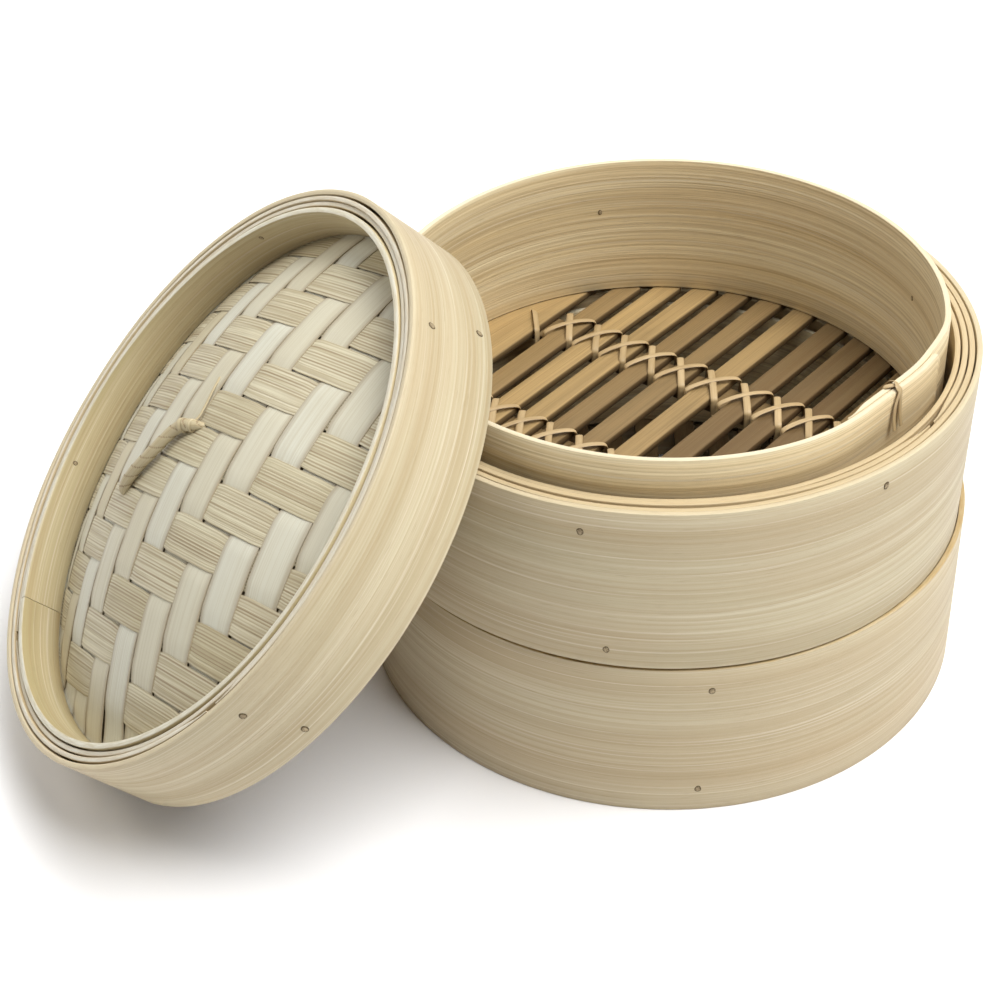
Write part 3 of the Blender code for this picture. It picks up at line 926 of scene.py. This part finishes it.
def add_handle(lid, finishes):
    """A low arch of cane wrapped round a core; both ends go down through the weave."""
    route = ((-0.0268, 0.0172, -0.0012), (-0.0258, 0.0168, 0.0008), (-0.0225, 0.0155, 0.0020),
             (-0.0160, 0.0134, 0.0027), (-0.0099, 0.0114, 0.0029), (-0.0020, 0.0098, 0.0030),
             (0.0040, 0.0088, 0.0029), (0.0080, 0.0070, 0.0025), (0.0106, 0.0042, 0.0016),
             (0.0126, 0.0024, 0.0006), (0.0138, 0.0012, -0.0010))
    knots = [Vector((x, y, cover_height(x, y) + 0.0004 + lift)) for x, y, lift in route]
    path = curve_through(knots, 40)
    frames = rotation_frames(path, Vector((0.0, 0.0, 1.0)))
    wrap = Sweep()
    sides = 28
    turn_length = 0.0052
    sections = []
    lengths = [0.0]
    crease_shades = []
    for i, (point, (along, up)) in enumerate(zip(path, frames)):
        if i:
            lengths.append(lengths[-1] + (point - path[i - 1]).length)
        side = along.cross(up)
        part = i / (len(path) - 1)
        slim = min(1.0, 0.85 + 4.0 * part, 0.40 + 2.6 * (1.0 - part))
        ring = []
        crease_shade = []
        for k in range(sides):
            angle = math.tau * k / sides
            uneven = 0.06 * noise.noise(Vector((lengths[-1] * 300.0, k, 0.0)))
            turn = (lengths[-1] / turn_length + math.sin(angle - 0.6) * 0.42 + uneven) % 1.0
            fold = abs(2.0 * turn - 1.0)
            swell = 0.00020 * (turn - 0.5) - 0.00018 * fold ** 12
            # Painted shade in the creases between the turns of the wrap.
            crease_shade.append(0.95 * smooth_step((fold - 0.86) / 0.14))
            reach = 0.00208 * slim + swell
            ring.append(point + side * math.cos(angle) * reach + up * math.sin(angle) * reach * 0.92)
        sections.append(ring)
        crease_shades.append(crease_shade)
    wrap.add(sections, lengths, crease_shades, tone=0.35, shift=(0.2, 0.3))
    made = wrap.build("lid_handle_wrapped_cane", lid, finishes["handle"], sharp=60.0)
    hold(made, "lid", "cane", "lid_handle")
    ties = Sweep()
    for number, reach in ((7, 0.00222), (8, 0.00190)):
        centre = knots[number]
        flow = (knots[number + 1] - knots[number - 1]).normalized()
        side = flow.cross(Vector((0.0, 0.0, 1.0))).normalized()
        up = side.cross(flow)
        loop = [centre + (side * math.cos(math.tau * k / 16) + up * math.sin(math.tau * k / 16)) * reach
                + flow * 0.0009 * (k / 16 - 0.5) for k in range(17)]
        cane_run(ties, loop, 0.0017, 0.00035, side, (reach * 900.0, 0.0), per_span=3)
    tail = ((0.0098, 0.0060, 0.0022), (0.0128, 0.0058, 0.0010), (0.0165, 0.0090, 0.0005),
            (0.0205, 0.0125, 0.0006), (0.0242, 0.0172, 0.0001))
    knots = [(x, y, cover_height(x, y) + 0.0006 + lift) for x, y, lift in tail]
    cane_run(ties, knots, 0.0011, 0.0004, (0.0, 0.0, 1.0), (0.7, 0.0))
    made = ties.build("lid_handle_ties", lid, finishes["handle"], sharp=60.0)
    hold(made, "lid", "cane")


def add_lid(finishes):
    low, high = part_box("lid_band")
    centre = (low + high) / 2
    axis = Vector((-math.cos(LID_LEAN), 0.0, math.sin(LID_LEAN)))
    mouth = centre - axis * (LID_HEIGHT / 2)
    lid = Matrix.Translation(mouth) @ Matrix.Rotation(LID_LEAN - math.pi / 2, 4, "Y")
    face = LID_RADIUS - 0.00025
    band = bent_strip("lid_band_strip", face, STRIP, 0.0001, LID_HEIGHT - 0.00015, finishes["hoop"],
                      lid, 31.0, wave=0.00015)
    hold(band, "lid", "hoop_bamboo", "lid_band")
    layers = ((2, -0.0004, -100.0, 9.0, -0.00045), (3, -0.0010, 170.0, 10.0, -0.00015))
    for layer, drop, start, scarf, inset in layers:
        out = LID_RADIUS - (layer - 1) * LAYER_STEP + inset
        made = bent_strip(f"lid_layer_{layer}_strip", out, STRIP - 0.0003, 0.0003, LID_HEIGHT + drop,
                          finishes["lid_layer"], lid, 31.0 + layer, start=start, sweep=357.5,
                          scarf=scarf, wave=0.00030)
        hold(made, "lid", "hoop_bamboo", f"lid_layer_{layer}")
    out = LID_RADIUS - 3 * LAYER_STEP
    deep = out - LID_RING_INNER
    upper = bent_strip("lid_upper_inner_ring_strip", out, deep, LID_SEAT + 0.0019, LID_HEIGHT - 0.0003,
                       finishes["lid_ring"], lid, 36.0, start=160.0, sweep=359.85, wave=0.00010)
    hold(upper, "lid", "hoop_bamboo", "lid_upper_inner_ring")
    lower = bent_strip("lid_lower_inner_ring_strip", out, deep, LID_RECESS, LID_SEAT - 0.0001,
                       finishes["lid_ring"], lid, 37.0, start=20.0, sweep=359.5, wave=0.00010)
    hold(lower, "lid", "hoop_bamboo", "lid_lower_inner_ring")
    add_cover(lid, finishes)
    add_handle(lid, finishes)
    pegs = (("lid_peg_right_head", -21.9, 0.0252, "lid_peg_right"),
            ("lid_peg_front_head", -98.7, 0.0244, "lid_peg_front"),
            ("lid_peg_right_low_head", -16.4, 0.0053, None),
            ("lid_peg_front_low_head", -95.7, 0.0057, None),
            ("lid_peg_back_head", 150.0, 0.0244, None), ("lid_peg_left_head", 168.5, 0.0300, None))
    for name, degrees, height, node in pegs:
        peg_head(name, degrees, height, face, lid, finishes["peg"], "lid", node=node)
    for name, degrees in (("lid_ring_mark_high", 55.9), ("lid_ring_mark_left", 126.2)):
        peg_head(name, degrees, LID_MARK_HEIGHT, LID_RING_INNER, lid, finishes["peg"], "lid",
                 size=MARK_SIZE, inward=True)


# ---------------------------------------------------------------- stage

def add_floor_sheet():
    """A pale round floor that glows softly far from the object, as the walls of a light tent do."""
    sides = 96
    points = [(0.0, 0.0, 0.0)]
    glow = [0.0]
    faces = []
    for number, (reach, value) in enumerate(FLOOR_RINGS):
        first = len(points)
        for k in range(sides):
            angle = math.tau * k / sides
            points.append((reach * math.cos(angle), reach * math.sin(angle), 0.0))
            glow.append(value)
        for k in range(sides):
            after = (k + 1) % sides
            if number:
                faces.append((first - sides + k, first + k, first + after, first - sides + after))
            else:
                faces.append((0, first + k, first + after))
    mesh = bpy.data.meshes.new("stage_floor")
    mesh.from_pydata(points, [], faces)
    mesh.attributes.new("glow", "FLOAT", "POINT").data.foreach_set("value", glow)
    sheet = bpy.data.objects.new("stage_floor", mesh)
    bpy.context.scene.collection.objects.link(sheet)
    shader = Shader("stage_white", 0.8, specular=0.1)
    soft = shader.stretched_noise(3.0, 3.0, detail=2.0)
    colour = shader.mix(soft, (0.94, 0.935, 0.935), (0.97, 0.965, 0.965))
    shader.tree.links.new(shader.attribute("glow"), shader.bsdf.inputs["Emission Strength"])
    mesh.materials.append(shader.finish(colour, soft, 0.0001))


def add_light(name, place, size, power):
    data = bpy.data.lights.new(name, "AREA")
    data.shape = "RECTANGLE"
    data.size, data.size_y = size, size
    data.energy = power
    lamp = bpy.data.objects.new(name, data)
    lamp.location = place
    lamp.rotation_euler = (Vector(LIGHT_TARGET) - Vector(place)).to_track_quat("-Z", "Y").to_euler()
    bpy.context.scene.collection.objects.link(lamp)


def add_lights():
    add_light("light_overhead", (0.45, -0.40, 1.35), 1.0, 30.5)
    add_light("light_back", (0.10, 1.20, 1.00), 0.9, 6.0)
    add_light("light_left", (-1.05, 0.55, 0.95), 0.9, 8.5)
    add_light("light_back_right", (0.80, 0.80, 1.10), 0.9, 2.5)
    world = bpy.data.worlds.new("studio")
    world.use_nodes = True
    world.node_tree.nodes["Background"].inputs["Color"].default_value = (1.0, 1.0, 1.0, 1.0)
    world.node_tree.nodes["Background"].inputs["Strength"].default_value = WORLD_LIGHT
    bpy.context.scene.world = world


def add_camera(stack_x):
    forward = Vector(CAMERA_FORWARD).normalized()
    right = Vector(CAMERA_RIGHT)
    right = (right - forward * right.dot(forward)).normalized()
    up = right.cross(forward)
    data = bpy.data.cameras.new("camera")
    data.sensor_width = 36.0
    data.lens = CAMERA_LENS
    data.shift_x, data.shift_y = CAMERA_SHIFT
    data.clip_start = 0.01
    camera = bpy.data.objects.new("camera", data)
    turn = Matrix((right, up, -forward)).transposed().to_4x4()
    x, y, z = CAMERA_PLACE
    camera.matrix_world = Matrix.Translation((stack_x + x, y, z)) @ turn
    bpy.context.scene.collection.objects.link(camera)
    bpy.context.scene.camera = camera


def make_finishes():
    """Each bamboo strip finish: pale, deep and blush tones, rim colour, streaks and fibre depth."""
    return {
        "hoop": strip_bamboo("hoop_bamboo_pale", (0.60, 0.53, 0.36), (0.49, 0.41, 0.255),
                             (0.53, 0.415, 0.265), (0.60, 0.51, 0.34), 0.36, 0.00014),
        "lower_hoop": strip_bamboo("hoop_bamboo_lower", (0.61, 0.53, 0.36), (0.51, 0.415, 0.26),
                                   (0.575, 0.45, 0.28), (0.42, 0.29, 0.12), 0.36, 0.00014),
        "layer": strip_bamboo("hoop_bamboo_warm", (0.56, 0.45, 0.28), (0.46, 0.34, 0.18),
                              (0.52, 0.39, 0.21), (0.56, 0.45, 0.27), 0.45, 0.00016),
        "ring": strip_bamboo("ring_bamboo", (0.84, 0.73, 0.48), (0.68, 0.54, 0.30),
                             (0.78, 0.61, 0.36), (0.64, 0.57, 0.41), 0.55, 0.00016),
        "lid_ring": strip_bamboo("lid_ring_bamboo", (0.56, 0.48, 0.29), (0.43, 0.36, 0.185),
                                 (0.49, 0.385, 0.21), (0.70, 0.67, 0.56), 0.45, 0.00016),
        "lid_layer": strip_bamboo("lid_bamboo_warm", (0.58, 0.48, 0.31), (0.48, 0.37, 0.21),
                                  (0.54, 0.42, 0.25), (0.68, 0.64, 0.53), 0.45, 0.00016),
        "slat": slat_bamboo(),
        "cane": cane(),
        "smooth": woven_bamboo("woven_bamboo_smooth", (0.60, 0.585, 0.48), (0.55, 0.485, 0.325),
                               (0.46, 0.40, 0.27), 0.36, 0.00010),
        "ribbed": woven_bamboo("woven_bamboo_ribbed", (0.66, 0.61, 0.44), (0.57, 0.515, 0.34),
                               (0.32, 0.25, 0.13), 0.56, 0.00018),
        "handle": woven_bamboo("handle_cane", (0.56, 0.49, 0.32), (0.48, 0.40, 0.24),
                               (0.36, 0.27, 0.14), 0.45, 0.00012),
        "peg": peg_bamboo(),
    }


def main():
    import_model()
    finishes = make_finishes()
    lower, radius = add_tier("lower", LOWER_FLOOR_TURN, finishes, 3.0)
    upper, _ = add_tier("upper", UPPER_FLOOR_TURN, finishes, 17.0)
    add_tier_pegs("lower", lower, radius, finishes, (
        ("lower_peg_front_head", -100.4, 0.0505, "lower_peg_front"),
        ("lower_peg_low_head", -102.1, 0.0091, None),
        ("lower_peg_back_head", 88.0, 0.0480, None), ("lower_peg_back_low_head", 90.5, 0.0095, None)))
    add_tier_pegs("upper", upper, radius, finishes, (
        ("upper_peg_left_head", -122.9, 0.0505, "upper_peg_left"),
        ("upper_peg_right_head", -68.8, 0.0533, "upper_peg_right"),
        ("upper_peg_low_head", -118.3, 0.0068, None), ("upper_peg_back_head", 72.0, 0.0500, None)))
    for name, degrees in (("upper_ring_mark_far", 85.4), ("upper_ring_mark_right", 0.8),
                          ("upper_ring_mark_back_left", 140.0)):
        peg_head(name, degrees, UPPER_MARK_HEIGHT, RING_RADIUS - STRIP, upper, finishes["peg"],
                 "upper_tier", size=MARK_SIZE, inward=True)
    add_lid(finishes)
    add_floor_sheet()
    add_lights()
    add_camera(upper.translation.x)
    bpy.context.scene.view_settings.view_transform = "Standard"


main()
